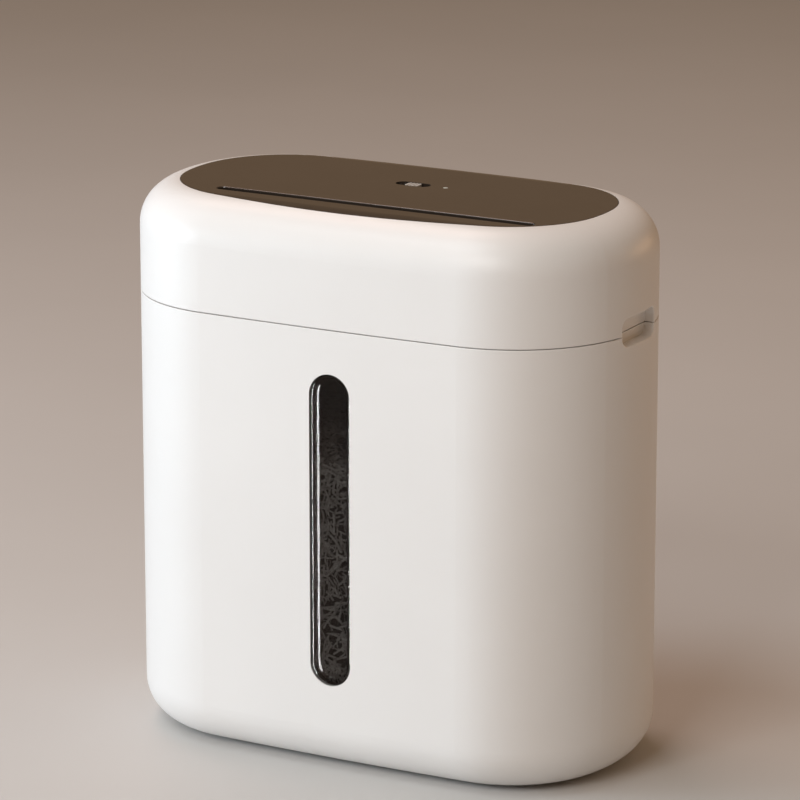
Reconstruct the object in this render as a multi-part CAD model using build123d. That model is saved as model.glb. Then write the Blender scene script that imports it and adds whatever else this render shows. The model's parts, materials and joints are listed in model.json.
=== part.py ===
from build123d import *
import math
import os

# Paper shredder: a waste bin with a lift-off head that holds the cutter block, its gear train, the
# motor and the electrics. Millimetres. +Z is up, +X is to the right of someone facing the front,
# and -Y is the front. The origin is on the floor under the middle of the body.

# ---------------------------------------------------------------- overall size
BODY_W = 344.0
BODY_D = 186.0
BODY_TOP = 360.0
FOOT_PROUD = 2.0
BODY_BOTTOM = FOOT_PROUD
EDGE_R = 28.0           # round-over at the top and bottom of the body
WALL = 3.0
SEAM_Z = 289.0          # where the head meets the bin
SEAM_GAP = 0.6
SEAM_ROUND = 0.6
BIN_TOP = SEAM_Z - SEAM_GAP / 2
HEAD_BOTTOM = SEAM_Z + SEAM_GAP / 2

# Plan outlines: a long shallow front arc, a corner arc and an end arc, tangent to one another.
BODY_PLAN = dict(
    width=BODY_W, depth=BODY_D, front_radius=2450.0, front_half_angle=2.13, end_half_angle=19.5
)
PLATE_PLAN = dict(
    width=291.0, depth=147.0, front_radius=636.0, front_half_angle=8.4, end_half_angle=7.0
)
PLATE_T = 2.5
PLATE_GAP = 0.35
LEDGE_W = 5.0
LEDGE_T = 2.0

# ---------------------------------------------------------------- window
WINDOW_X = 3.0
WINDOW_W = 28.7
WINDOW_Z = (58.6, 261.0)
WINDOW_LIP = 2.5
WINDOW_RECESS = 6.0
WINDOW_PANE_T = 2.0
WINDOW_FLANGE = 5.0
WINDOW_FLANGE_T = 2.0
WINDOW_LIP_ROUND = 1.1
WINDOW_FOOT_ROUND = 3.0      # where the recess's walls meet the pane
RETAINER_T = 2.0
RETAINER_EAR_R = 4.2
WINDOW_SCREW_Z = (62.0, 128.0, 194.0, 258.0)
WINDOW_SCREW_R = 1.1
WINDOW_SCREW_HEAD = (2.4, 1.4)   # radius and height
WINDOW_SCREW_BITE = 3.0
WINDOW_BOSS_R = 3.4

# ---------------------------------------------------------------- finger grips in the two ends
GRIP_W = 44.0
GRIP_Z = (282.0, 300.3)
GRIP_DEPTH = 8.5
GRIP_R = 6.5
GRIP_WALL = 2.5
GRIP_ROUND = 0.8        # softened edge of the mouth

# ---------------------------------------------------------------- feet and interlock
FOOT_R = 9.0
FOOT_SINK = 1.0
FOOT_XY = (118.0, 37.0)
FOOT_CHAMFER = 0.6
KEY_X = -60.0
KEY_W = 8.0
KEY_Y0 = 82.0
KEY_Z = (262.0, 300.0)
KEY_GAP = 1.0           # between the tab and the casing wall
KEY_PAD_HALF = 9.0
KEY_PAD_T = 2.0
PLUNGER_R = 1.5
PLUNGER_GAP = 0.3
PLUNGER_Y = 85.5
RUNNING = 0.06          # radial clearance of a running fit

# ---------------------------------------------------------------- paper slot and throat
SLOT_X = 10.0
SLOT_Y = -49.0
SLOT_L = 224.0
SLOT_W = 7.5
SLOT_ROUND = 0.8
THROAT_NECK = 4.8
THROAT_NECK_Z = 334.0
THROAT_Z0 = 319.5
THROAT_WALL = 2.0
THROAT_FLANGE = 8.0
SENSOR_HOLE_R = 1.5
SENSOR_Z = 345.0

# ---------------------------------------------------------------- head base, a shallow tub
TUB_INSET = 4.0
TUB_WALL = 2.0
TUB_X = 157.0
TUB_Z0 = 276.0
TUB_FLOOR = 2.5
FLOOR_Z = TUB_Z0 + TUB_FLOOR
FLANGE_T = 2.5
FLANGE_TOP = HEAD_BOTTOM + FLANGE_T
CHUTE_X = (-101.0, 121.0)
CHUTE_Y = (-79.0, -19.0)
BASE_SCREW_R = 1.4
BASE_SCREW_HEAD = (3.2, 1.4)     # radius and height
BASE_SCREW_BITE = 8.0            # how deep a screw goes short of its boss's blind end
BOSS_R = 4.0
BOSS_CAP = 4.0
RIB_T = 3.0
BOSS_TOP = 314.0
BOSS_INSET = 10.3
BOSS_X_FRONT = (-84.0, 2.0, 88.0)
BOSS_X_REAR = (-100.0, 22.0, 122.0)
RIM_CUT_X = 160.5       # the rim stops short of the grip linings
RIM_CUT_HALF = 25.5
SWITCH_POST_Y = (68.0, 74.0)
SWITCH_POST_HALF = 8.0

# ---------------------------------------------------------------- cutter block
SHAFT_Z = 306.0
SHAFT_SPACING = 26.0
FRONT_Y = SLOT_Y - SHAFT_SPACING / 2
REAR_Y = SLOT_Y + SHAFT_SPACING / 2
CUTTER_X0 = SLOT_X - SLOT_L / 2
CUTTER_X1 = SLOT_X + SLOT_L / 2
DISC_R = 15.0
DISC_T = 3.6
DISC_PITCH = 8.0
DISC_COUNT = 28
NOTCH_R = 12.6
NOTCH_ANGLE = 26.0
NOTCHES = 3
DISC_TWIST = 17.0
HUB_R = 10.2
JOURNAL_R = 6.0
GROOVE_R = 5.0
CLIP_R = 9.0
CLIP_T = 1.0
FRAME_T = 3.0
FRAME_GAP = 2.0
LEFT_FRAME_X = CUTTER_X0 - FRAME_GAP
RIGHT_FRAME_X = CUTTER_X1 + FRAME_GAP
FRAME_TOP = 343.0
FRAME_ROUND = 6.0
FRAME_FOOT_T = 2.0
FRAME_FOOT_W = 12.0
LEFT_FRAME_Y = (-80.0, 66.0)
LEFT_FOOT_Y = (-4.0, 60.0)
LEFT_SCREW_Y = (2.0, 54.0)
RIGHT_FRAME_Y = (-74.0, 2.0)
RIGHT_FOOT_Y = (-58.0, 0.0)
RIGHT_SCREW_Y = (-50.0, -8.0)
FRAME_SCREW_HEAD = (3.0, 1.6)    # radius and height
MOTOR_HOLE_R = 9.0
M3_R = 1.5
BUSH_R = 8.5
BUSH_PROUD = 0.6
BUSH_END_GAP = 0.4
COMB_FINGER_T = 3.0
COMB_CLEAR = 0.7
COMB_REACH = 14.0
COMB_BAR_Z = (284.0, 289.8)
COMB_BAR_HALF = (-4.0, 10.0)   # bar, measured outwards from its roller's axis
TIE_R = 3.0
TIE_YZ = ((-69.0, 331.0), (-15.0, 331.0), (-14.0, 290.0))
NUT_R = 5.0
NUT_T = 3.0

# ---------------------------------------------------------------- gears
PRESSURE = math.radians(25.0)
BACKLASH = 0.12
ADDENDUM = 0.95
DEDENDUM = 1.25
SYNC = dict(module=1.3, teeth=20)
DRIVE = dict(module=1.25, teeth=40)
IDLER_PINION = dict(module=1.25, teeth=14)
IDLER_WHEEL = dict(module=1.0, teeth=36)
FIRST_PINION = dict(module=1.0, teeth=12)
FIRST_WHEEL = dict(module=0.8, teeth=45)
MOTOR_PINION = dict(module=0.8, teeth=12)
LAYER_1 = (-118.5, -109.5)
LAYER_2 = (-132.5, -123.5)
LAYER_3 = (-142.5, -135.0)
FRONT_SHAFT_END = -121.6
REAR_SHAFT_END = -134.6
RIGHT_SHAFT_END = 130.6
GEAR_PIN_R = 3.0
GEAR_HUB_R = 5.0
GEAR_PLATE_X = (-146.0, -144.0)
GEAR_PLATE_YZ = (
    (-36.0, 344.0),
    (-36.0, 332.0),
    (-14.0, 292.0),
    (44.0, 280.5),
    (58.0, 280.5),
    (58.0, 292.0),
    (52.0, 344.0),
)
POST_YZ = ((-30.0, 338.0), (46.0, 336.0), (52.0, 286.0))
POST_R = 3.5
DRIVE_WEB = (20.0, 11.0, 2.5)    # outer radius, inner radius and depth of the drive gear's recess
DRIVE_SPACER_R = 9.0
FIRST_HUB_R = 4.6

# ---------------------------------------------------------------- motor
MOTOR_YZ = (38.0, 312.0)
MOTOR_R = 26.0
CAN_T = 1.6
CAN_L = 84.0
ENDCAP_T = 8.0
MOTOR_SHAFT_R = 2.5
ROTOR_R = 16.0
ROTOR_SLOTS = 8
ROTOR_SLOT_R = 2.2
WINDING_R = 12.0
WINDING_L = 8.0
ROTOR_GAP = 10.0        # from the can's closed end to the first winding
COMMUTATOR_R = 5.0
COMMUTATOR_L = 11.0
MAGNET_T = 6.0
MAGNET_GAP = 16.0       # between the two magnets, at the sides
BRUSH_REACH = (5.4, 21.0)
BRUSH_HALF = 3.0
MOTOR_SCREW_REACH = 15.0
CUTOUT_X = (-70.0, -52.0)
CUTOUT_HALF = 4.0
CUTOUT_T = 4.0

# ---------------------------------------------------------------- controls and electrics
CONTROL_X = 10.0
CONTROL_Y = 18.0
BEZEL_L = 46.0
BEZEL_W = 16.0
DISH_DEPTH = 2.0
KNOB_L = 9.0
KNOB_W = 8.0
KNOB_X = CONTROL_X - 8.0
STEM_W = 3.0
KNOB_TRAVEL = 4.0
LIGHT_X = CONTROL_X + 15.0
LIGHT_R = 1.5
BEZEL_LIP = 3.0
BEZEL_LEG_REACH = 20.0
STEM_SLACK = 0.5
STEM_FOOT_Z = 345.0
KNOB_ROUND = 1.6
RIDGE_PITCH = 2.2
RIDGE_GROOVE = 0.8
HOUSING_HALF = (9.5, 5.5)
HOUSING_TOP = 351.0
CONTROL_BOARD_Z = (339.4, 341.0)
CONTROL_BOARD_HALF = (23.0, 8.0)
INTERLOCK_BODY = ((-10.0, 10.0), (68.0, 88.0), (304.0, 314.0))   # X is measured from the tab
INTERLOCK_BORE_TOP = 312.0
PLUNGER_TOP = 311.5
SENSOR_HALF = (5.0, 4.0)
SENSOR_T = 6.0
BOARD_X = (22.0, 112.0)
BOARD_Y = (10.0, 66.0)
BOARD_Z = (294.0, 295.6)
BOARD_INSET = 5.0
STANDOFF_R = 3.0
BOARD_SCREW_R = 1.2
BOARD_SCREW_HEAD = (2.4, 1.5)    # radius and height
BOARD_SCREW_BITE = 6.0
RELAY = ((36.0, 55.0), (18.0, 34.0), 15.5)          # X, Y and height above the board
CAPACITOR = (72.0, 28.0, 9.0, 28.0)                 # X, Y, radius and height
SINK_BACK = ((86.0, 106.0), (22.0, 24.5), 26.0)
SINK_FIN = (1.2, 3.6, 6, 36.0)                      # thickness, pitch, count and how far back they reach
CHOKE = (42.0, 50.0, 10.0, 4.5, 11.0)               # X, Y, outer and inner radius, height
FUSE = (2.6, 56.0, (62.0, 84.0))                    # radius, Y and X
TERMINALS = ((88.0, 104.0), (46.0, 55.0), 9.0)
INLET_X = 80.0
INLET_Z = 310.0
INLET_W = 24.0
INLET_H = 15.0
INLET_DEPTH = 20.0
INLET_SOCKET_DEPTH = 10.0
INLET_PIN_R = 1.2
INLET_PIN_SPACING = 8.6
INLET_LOBE_R = 4.0
INLET_BRIDGE_HALF = 3.4
INLET_SUNK = 2.0
INLET_FLANGE = (3.0, 7.0, 5.0)   # how far it stands out, and its two faces behind the rear wall
PIN_TAIL = 3.0
PIN_TIP = 4.0
VENT_X = (-120.0, -30.0)
VENT_COUNT = 11
VENT_W = 3.0
VENT_Z = (306.0, 328.0)
WIRE_R = 0.9
WIRE_BEND = 4.0


# ---------------------------------------------------------------- shape helpers
def block(x, y, z):
    """A box between two limits on each axis."""
    size = [limits[1] - limits[0] for limits in (x, y, z)]
    middle = [sum(limits) / 2 for limits in (x, y, z)]
    return Pos(*middle) * Box(*size)


def rod_x(radius, y, z, x0, x1):
    """A round bar along X."""
    return Plane.YZ.offset(x0) * Pos(y, z) * extrude(Circle(radius), x1 - x0)


def tube_x(outer, inner, yz, x0, x1):
    """A round ring or tube along X."""
    return rod_x(outer, *yz, x0, x1) - rod_x(inner, *yz, x0, x1)


def rod_y(radius, x, z, y0, y1):
    """A round bar along Y."""
    return Pos(x, (y0 + y1) / 2, z) * Rot(90, 0, 0) * Cylinder(radius, y1 - y0)


def rod_z(radius, x, y, z0, z1):
    """A round bar along Z."""
    return Pos(x, y, (z0 + z1) / 2) * Cylinder(radius, z1 - z0)


def profile_x(points, x0, x1):
    """A polygon of (y, z) points extruded along X."""
    face = Plane.YZ.offset(x0) * make_face(Polyline(*points, close=True))
    return extrude(face, x1 - x0)


def oblong_y(width, x, z, y0, y1):
    """An upright slot shape with round ends, extruded along Y."""
    face = Plane.XZ.offset(-y0) * Pos(x, sum(z) / 2) * SlotOverall(z[1] - z[0], width, rotation=90)
    return extrude(face, -(y1 - y0))


def oblong_z(length, width, x, y, z0, z1):
    """A slot shape along X with round ends, extruded along Z."""
    return Pos(x, y, z0) * extrude(SlotOverall(length, width), z1 - z0)


def plan_radii(width, depth, front_radius, front_half_angle, end_half_angle):
    """The end and corner radii that make the arcs meet tangentially at the given size."""
    t_end = math.radians(end_half_angle)
    t_front = math.radians(90 - front_half_angle)
    x_end, x_corner = 1 - math.cos(t_end), math.cos(t_end) - math.cos(t_front)
    y_end, y_corner = math.sin(t_end), math.sin(t_front) - math.sin(t_end)
    x_left = width / 2 - front_radius * math.cos(t_front)
    y_left = depth / 2 - front_radius * (1 - math.sin(t_front))
    det = x_end * y_corner - x_corner * y_end
    end_radius = (x_left * y_corner - x_corner * y_left) / det
    corner_radius = (x_end * y_left - y_end * x_left) / det
    return t_end, t_front, end_radius, corner_radius


def plan_points(plan, inset):
    """Middle of the end, end of the end arc, middle of the corner, end of the corner, front middle."""
    t_end, t_front, end_radius, corner_radius = plan_radii(**plan)
    end_centre = (plan["width"] / 2 - end_radius, 0)
    corner_centre = (
        end_centre[0] + (end_radius - corner_radius) * math.cos(t_end),
        (end_radius - corner_radius) * math.sin(t_end),
    )

    def on_arc(centre, radius, angle):
        return (
            centre[0] + (radius - inset) * math.cos(angle),
            centre[1] + (radius - inset) * math.sin(angle),
        )

    return (
        on_arc(end_centre, end_radius, 0),
        on_arc(end_centre, end_radius, t_end),
        on_arc(corner_centre, corner_radius, (t_end + t_front) / 2),
        on_arc(corner_centre, corner_radius, t_front),
        (0, plan["depth"] / 2 - inset),
    )


def plan_face(plan, inset=0.0):
    """The closed outline, inset evenly all round."""
    end, joint, corner, shoulder, front = plan_points(plan, inset)
    edges = []
    for side in (1, -1):
        edges.append(
            ThreePointArc((side * joint[0], -joint[1]), (side * end[0], 0), (side * joint[0], joint[1]))
        )
        edges.append(
            ThreePointArc(
                (-shoulder[0], side * shoulder[1]), (0, side * front[1]), (shoulder[0], side * shoulder[1])
            )
        )
        for depth_side in (1, -1):
            points = [(side * x, depth_side * y) for x, y in (joint, corner, shoulder)]
            edges.append(ThreePointArc(*points))
    return make_face(edges)


def plan_prism(plan, inset, z0, z1):
    return Pos(0, 0, z0) * extrude(plan_face(plan, inset), z1 - z0)


def body_solid(inset):
    """The whole outer form, or the space inside it, with rounded top and bottom edges."""
    solid = plan_prism(BODY_PLAN, inset, BODY_BOTTOM + inset, BODY_TOP - inset)
    layers = solid.edges().group_by(Axis.Z)
    return fillet(layers[0] + layers[-1], EDGE_R - inset)


def half_depth(x, inset):
    """How far the body outline, inset, reaches from the middle plane at a given x."""
    _, t_front, end_radius, corner_radius = plan_radii(**BODY_PLAN)
    _, _, _, shoulder, _ = plan_points(BODY_PLAN, 0)
    front_radius = BODY_PLAN["front_radius"]
    if abs(x) <= shoulder[0]:
        return BODY_D / 2 - front_radius + math.sqrt((front_radius - inset) ** 2 - x**2)
    centre_x = shoulder[0] - corner_radius * math.cos(t_front)
    centre_y = shoulder[1] - corner_radius * math.sin(t_front)
    return centre_y + math.sqrt((corner_radius - inset) ** 2 - (abs(x) - centre_x) ** 2)


def half_width(y):
    """How far the end arc of the body outline reaches along X at a given y."""
    _, _, end_radius, _ = plan_radii(**BODY_PLAN)
    return BODY_W / 2 - end_radius + math.sqrt(end_radius**2 - y**2)


def round_seam(solid, z):
    """Softens the outer edge of a shell where it meets the other one."""
    edges = [e for e in solid.edges() if abs(e.center().Z - z) < 0.01]
    return fillet(edges, SEAM_ROUND)


def grip_shape(grow, side):
    """The rounded pocket in one end, or its lining when grown."""
    width = GRIP_W + 2 * grow
    height = GRIP_Z[1] - GRIP_Z[0] + 2 * grow
    face = Pos(0, sum(GRIP_Z) / 2) * RectangleRounded(width, height, GRIP_R + grow)
    floor_x = BODY_W / 2 - GRIP_DEPTH - grow
    pocket = extrude(Plane.YZ.offset(floor_x) * face, GRIP_DEPTH * 3)
    return pocket if side > 0 else mirror(pocket, Plane.YZ)


OUTER = body_solid(0.0)
INNER = body_solid(WALL)
LINED = [grip_shape(GRIP_WALL, side) for side in (1, -1)]
GRIPS = [grip_shape(0.0, side) for side in (1, -1)]
FAR = 400.0
BELOW_SEAM = block((-FAR, FAR), (-FAR, FAR), (-FAR, BIN_TOP))
ABOVE_SEAM = block((-FAR, FAR), (-FAR, FAR), (HEAD_BOTTOM, FAR + BODY_TOP))


def walled(outer_part, clip):
    """One shell of the body with its share of the two lined finger grips."""
    shell = outer_part - INNER
    for lining in LINED:
        shell += (lining & OUTER) & clip
    for grip in GRIPS:
        shell -= grip
    return fillet(shell.edges().filter_by(on_grip_mouth), GRIP_ROUND)


def on_grip_mouth(edge):
    """True on the outline of a finger grip where it cuts the outer surface."""
    middle = edge.position_at(0.5)
    on_surface = abs(abs(middle.X) - half_width(middle.Y)) < 0.05
    beside = abs(middle.Y) < GRIP_W / 2 + 0.05
    return on_surface and beside and GRIP_Z[0] - 0.05 < middle.Z < GRIP_Z[1] + 0.05


# ---------------------------------------------------------------- bin
WINDOW_BACK = -BODY_D / 2 + WINDOW_RECESS + WINDOW_PANE_T
INSIDE_Y = -BODY_D / 2 + WALL + 0.1
FLANGE_BACK = INSIDE_Y + WINDOW_FLANGE_T
RETAINER_BACK = FLANGE_BACK + RETAINER_T
RETAINER_W = WINDOW_W + 2 * WINDOW_FLANGE + 12
WINDOW_SCREW_X = WINDOW_W / 2 + WINDOW_FLANGE + 4.5


def window_screw_places():
    for z in WINDOW_SCREW_Z:
        for side in (1, -1):
            yield WINDOW_X + side * WINDOW_SCREW_X, z


def foot_places():
    for x_side in (1, -1):
        for y_side in (1, -1):
            yield x_side * FOOT_XY[0], y_side * FOOT_XY[1]


def bin_shell():
    shell = walled(round_seam(OUTER & BELOW_SEAM, BIN_TOP), BELOW_SEAM)
    front = -BODY_D / 2
    for x, z in window_screw_places():
        boss = rod_y(WINDOW_BOSS_R, x, z, front, FLANGE_BACK)
        shell += boss & OUTER
        shell -= rod_y(WINDOW_SCREW_R, x, z, FLANGE_BACK - WINDOW_SCREW_BITE, FLANGE_BACK + 1)
    shell -= oblong_y(WINDOW_W, WINDOW_X, WINDOW_Z, front - 5, FLANGE_BACK + 1)
    for x, y in foot_places():
        shell -= rod_z(FOOT_R, x, y, 0, BODY_BOTTOM + FOOT_SINK)
    return shell


def window_insert():
    """A dished smoked pane: a lip flush with the wall, a recess, and a flange behind the wall."""
    front = -BODY_D / 2
    body = oblong_y(WINDOW_W, WINDOW_X, WINDOW_Z, front - 5, WINDOW_BACK) & OUTER
    grown = (WINDOW_Z[0] - WINDOW_FLANGE, WINDOW_Z[1] + WINDOW_FLANGE)
    flange = oblong_y(WINDOW_W + 2 * WINDOW_FLANGE, WINDOW_X, grown, front, FLANGE_BACK) & INNER
    inner_z = (WINDOW_Z[0] + WINDOW_LIP, WINDOW_Z[1] - WINDOW_LIP)
    recess = oblong_y(WINDOW_W - 2 * WINDOW_LIP, WINDOW_X, inner_z, front - 5, front + WINDOW_RECESS)
    foot = [e for e in recess.edges() if e.center().Y > front + WINDOW_RECESS - 0.1]
    recess = fillet(foot, WINDOW_FOOT_ROUND)
    insert = (body + flange) - recess
    lip = [e for e in insert.edges() if abs(e.center().Y - front) < 0.6]
    return fillet(lip, WINDOW_LIP_ROUND)


def window_retainer():
    """The plate that clamps the window's flange to the wall."""
    grown = (WINDOW_Z[0] - WINDOW_FLANGE - 1, WINDOW_Z[1] + WINDOW_FLANGE + 1)
    plate = oblong_y(RETAINER_W, WINDOW_X, grown, FLANGE_BACK, RETAINER_BACK)
    plate -= oblong_y(WINDOW_W, WINDOW_X, WINDOW_Z, FLANGE_BACK - 1, RETAINER_BACK + 1)
    for x, z in window_screw_places():
        plate += rod_y(RETAINER_EAR_R, x, z, FLANGE_BACK, RETAINER_BACK)
    for x, z in window_screw_places():
        plate -= rod_y(WINDOW_SCREW_R, x, z, FLANGE_BACK - 1, RETAINER_BACK + 1)
    return plate


def window_screws():
    head_r, head_t = WINDOW_SCREW_HEAD
    screws = []
    for x, z in window_screw_places():
        shank = rod_y(WINDOW_SCREW_R, x, z, FLANGE_BACK - WINDOW_SCREW_BITE, RETAINER_BACK)
        screws.append(shank + rod_y(head_r, x, z, RETAINER_BACK, RETAINER_BACK + head_t))
    return screws


def rubber_feet():
    feet = []
    for x, y in foot_places():
        foot = rod_z(FOOT_R, x, y, 0, BODY_BOTTOM + FOOT_SINK)
        feet.append(chamfer(foot.edges().group_by(Axis.Z)[0], FOOT_CHAMFER))
    return feet


def interlock_key():
    """The upright tab on the bin's rear wall that tells the head it is seated."""
    tab = block((KEY_X - KEY_W / 2, KEY_X + KEY_W / 2), (KEY_Y0, FAR), KEY_Z)
    tab = tab & plan_prism(BODY_PLAN, WALL + KEY_GAP, 0, BODY_TOP)
    pad_y = half_depth(KEY_X, WALL + KEY_GAP) - KEY_PAD_T
    pad = block((KEY_X - KEY_PAD_HALF, KEY_X + KEY_PAD_HALF), (pad_y, FAR), (KEY_Z[0] - 6, TUB_Z0 - 4))
    return (tab + pad) & INNER


# ---------------------------------------------------------------- head casing
def boss_places():
    for x in BOSS_X_FRONT:
        yield x, -half_depth(x, BOSS_INSET)
    for x in BOSS_X_REAR:
        yield x, half_depth(x, BOSS_INSET)


def head_shell():
    shell = walled(round_seam(OUTER & ABOVE_SEAM, HEAD_BOTTOM), ABOVE_SEAM)
    under = BODY_TOP - PLATE_T
    ledge = plan_prism(PLATE_PLAN, -LEDGE_W, under - LEDGE_T, under)
    shell += ledge & INNER
    shell -= plan_prism(PLATE_PLAN, LEDGE_W, under - 2 * LEDGE_T, BODY_TOP + 5)
    seat = plan_prism(PLATE_PLAN, -PLATE_GAP, under - 6, BODY_TOP + 5)
    shell -= seat - body_solid(PLATE_T)
    for x, y in boss_places():
        outward = (y, FAR) if y > 0 else (-FAR, y)
        rib = block((x - RIB_T / 2, x + RIB_T / 2), outward, (FLANGE_TOP, BOSS_TOP)) & OUTER
        shell += rod_z(BOSS_R, x, y, FLOOR_Z, BOSS_TOP) + rib
        shell -= rod_z(BASE_SCREW_R, x, y, FLOOR_Z - 1, BOSS_TOP - BOSS_CAP)
    step = (VENT_X[1] - VENT_X[0]) / (VENT_COUNT - 1)
    for i in range(VENT_COUNT):
        x = VENT_X[0] + i * step
        shell -= oblong_y(VENT_W, x, VENT_Z, 50, 120)
    inlet_x = (INLET_X - INLET_W / 2, INLET_X + INLET_W / 2)
    inlet_z = (INLET_Z - INLET_H / 2, INLET_Z + INLET_H / 2)
    return shell - block(inlet_x, (BODY_D / 2 - INLET_DEPTH, BODY_D), inlet_z)


def top_plate():
    """The dark glossy panel flush with the top, with the paper slot and the control opening."""
    plate = (OUTER - body_solid(PLATE_T)) & plan_prism(PLATE_PLAN, 0, BODY_TOP - 8, BODY_TOP + 5)
    plate -= oblong_z(SLOT_L, SLOT_W, SLOT_X, SLOT_Y, BODY_TOP - 8, BODY_TOP + 5)
    top_edges = [e for e in plate.edges() if abs(e.center().Z - BODY_TOP) < 0.01 and e.length < SLOT_L]
    mouth = [e for e in top_edges if abs(e.center().Y - SLOT_Y) < SLOT_W]
    plate = fillet(mouth, SLOT_ROUND)
    return plate - oblong_z(BEZEL_L, BEZEL_W, CONTROL_X, CONTROL_Y, BODY_TOP - 8, BODY_TOP + 5)


def paper_throat():
    """The funnel under the slot that leads a sheet to the cutters."""
    top = BODY_TOP - PLATE_T
    half_mouth, half_neck = SLOT_W / 2, THROAT_NECK / 2

    def section(grow, lift):
        right = [
            (SLOT_Y + half_neck + grow, THROAT_Z0 - lift),
            (SLOT_Y + half_neck + grow, THROAT_NECK_Z),
            (SLOT_Y + half_mouth + grow, top + lift),
        ]
        left = [(2 * SLOT_Y - y, z) for y, z in reversed(right)]
        return right + left

    x0, x1 = CUTTER_X0, CUTTER_X1
    throat = profile_x(section(THROAT_WALL, 0), x0 - THROAT_WALL, x1 + THROAT_WALL)
    flange_y = (SLOT_Y - THROAT_FLANGE, SLOT_Y + THROAT_FLANGE)
    throat += block((x0 - THROAT_WALL, x1 + THROAT_WALL), flange_y, (top - THROAT_WALL, top))
    throat -= profile_x(section(0, 2), x0, x1)
    throat = throat & body_solid(PLATE_T) & plan_prism(PLATE_PLAN, LEDGE_W + 0.3, 0, BODY_TOP)
    return throat - rod_y(SENSOR_HOLE_R, SLOT_X, SENSOR_Z, SLOT_Y - 12, SLOT_Y + 12)


def head_base():
    """The shallow tub under the head: floor, walls, rim flange and the chute under the cutters."""
    inside_x = TUB_X - TUB_WALL
    outer = plan_prism(BODY_PLAN, TUB_INSET, TUB_Z0, FLANGE_TOP)
    outer = outer & block((-TUB_X, TUB_X), (-FAR, FAR), (0, FAR))
    inner = plan_prism(BODY_PLAN, TUB_INSET + TUB_WALL, FLOOR_Z, FLANGE_TOP + 1)
    inner = inner & block((-inside_x, inside_x), (-FAR, FAR), (0, FAR))
    rim = plan_prism(BODY_PLAN, WALL, HEAD_BOTTOM, FLANGE_TOP)
    for cut_x in ((RIM_CUT_X, FAR), (-FAR, -RIM_CUT_X)):
        rim -= block(cut_x, (-RIM_CUT_HALF, RIM_CUT_HALF), (0, FAR))
    tub = (outer + rim) - inner
    tub -= block(CHUTE_X, CHUTE_Y, (TUB_Z0 - 1, FLOOR_Z + 1))
    for x, y in boss_places():
        tub -= rod_z(BASE_SCREW_R, x, y, TUB_Z0 - 1, FLOOR_Z + 1)
        tub -= rod_z(BASE_SCREW_HEAD[0], x, y, TUB_Z0 - 1, TUB_Z0 + BASE_SCREW_HEAD[1])
    for x, y in board_posts():
        tub += rod_z(STANDOFF_R, x, y, FLOOR_Z, BOARD_Z[0])
        tub -= rod_z(BOARD_SCREW_R, x, y, BOARD_Z[0] - BOARD_SCREW_BITE - 2, BOARD_Z[0] + 1)
    for x, y in frame_screw_places():
        tub -= rod_z(M3_R, x, y, TUB_Z0 - 1, FLOOR_Z + 1)
    post_x = (KEY_X - SWITCH_POST_HALF, KEY_X + SWITCH_POST_HALF)
    tub += block(post_x, SWITCH_POST_Y, (FLOOR_Z, INTERLOCK_BODY[2][0]))
    notch_half = KEY_PAD_HALF + 2
    return tub - block((KEY_X - notch_half, KEY_X + notch_half), (KEY_Y0 - 3, FAR), (0, FAR))


def base_screws():
    head_r, head_t = BASE_SCREW_HEAD
    tip = BOSS_TOP - BOSS_CAP - BASE_SCREW_BITE
    screws = []
    for x, y in boss_places():
        head = rod_z(head_r, x, y, TUB_Z0, TUB_Z0 + head_t)
        screws.append(head + rod_z(BASE_SCREW_R, x, y, TUB_Z0 + head_t, tip))
    return screws


# ---------------------------------------------------------------- cutter block
def cutter_disc(turn):
    """One disc's outline: a circle with hook-shaped notches."""
    step = 360.0 / NOTCHES

    def at(radius, angle):
        angle = math.radians(angle + turn)
        return (radius * math.cos(angle), radius * math.sin(angle))

    edges = []
    for i in range(NOTCHES):
        start = i * step
        land_end = start + step - NOTCH_ANGLE
        land_middle = (start + land_end) / 2
        edges.append(ThreePointArc(at(DISC_R, start), at(DISC_R, land_middle), at(DISC_R, land_end)))
        edges.append(Line(at(DISC_R, land_end), at(NOTCH_R, start + step)))
        edges.append(Line(at(NOTCH_R, start + step), at(DISC_R, start + step)))
    return make_face(edges)


def roller(y, first_disc_x, left_end, hand):
    """A cutter shaft machined from one bar: discs, hub, journals and clip grooves."""
    body = rod_x(HUB_R, y, SHAFT_Z, CUTTER_X0, CUTTER_X1)
    discs = []
    for i in range(DISC_COUNT):
        x = first_disc_x + i * DISC_PITCH
        face = Pos(y, SHAFT_Z) * cutter_disc(hand * i * DISC_TWIST)
        discs.append(extrude(Plane.YZ.offset(x - DISC_T / 2) * face, DISC_T))
    body = body.fuse(*discs)
    body += rod_x(JOURNAL_R, y, SHAFT_Z, left_end, RIGHT_SHAFT_END)
    for x0 in clip_places(left_end):
        body -= tube_x(JOURNAL_R + 1, GROOVE_R, (y, SHAFT_Z), x0, x0 + CLIP_T)
    return body


def clip_places(left_end):
    """Left faces of the two clip grooves on a roller."""
    return (left_end + 0.8, RIGHT_SHAFT_END - 0.8 - CLIP_T)


def clips(y, left_end):
    return [tube_x(CLIP_R, GROOVE_R, (y, SHAFT_Z), x0, x0 + CLIP_T) for x0 in clip_places(left_end)]


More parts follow.
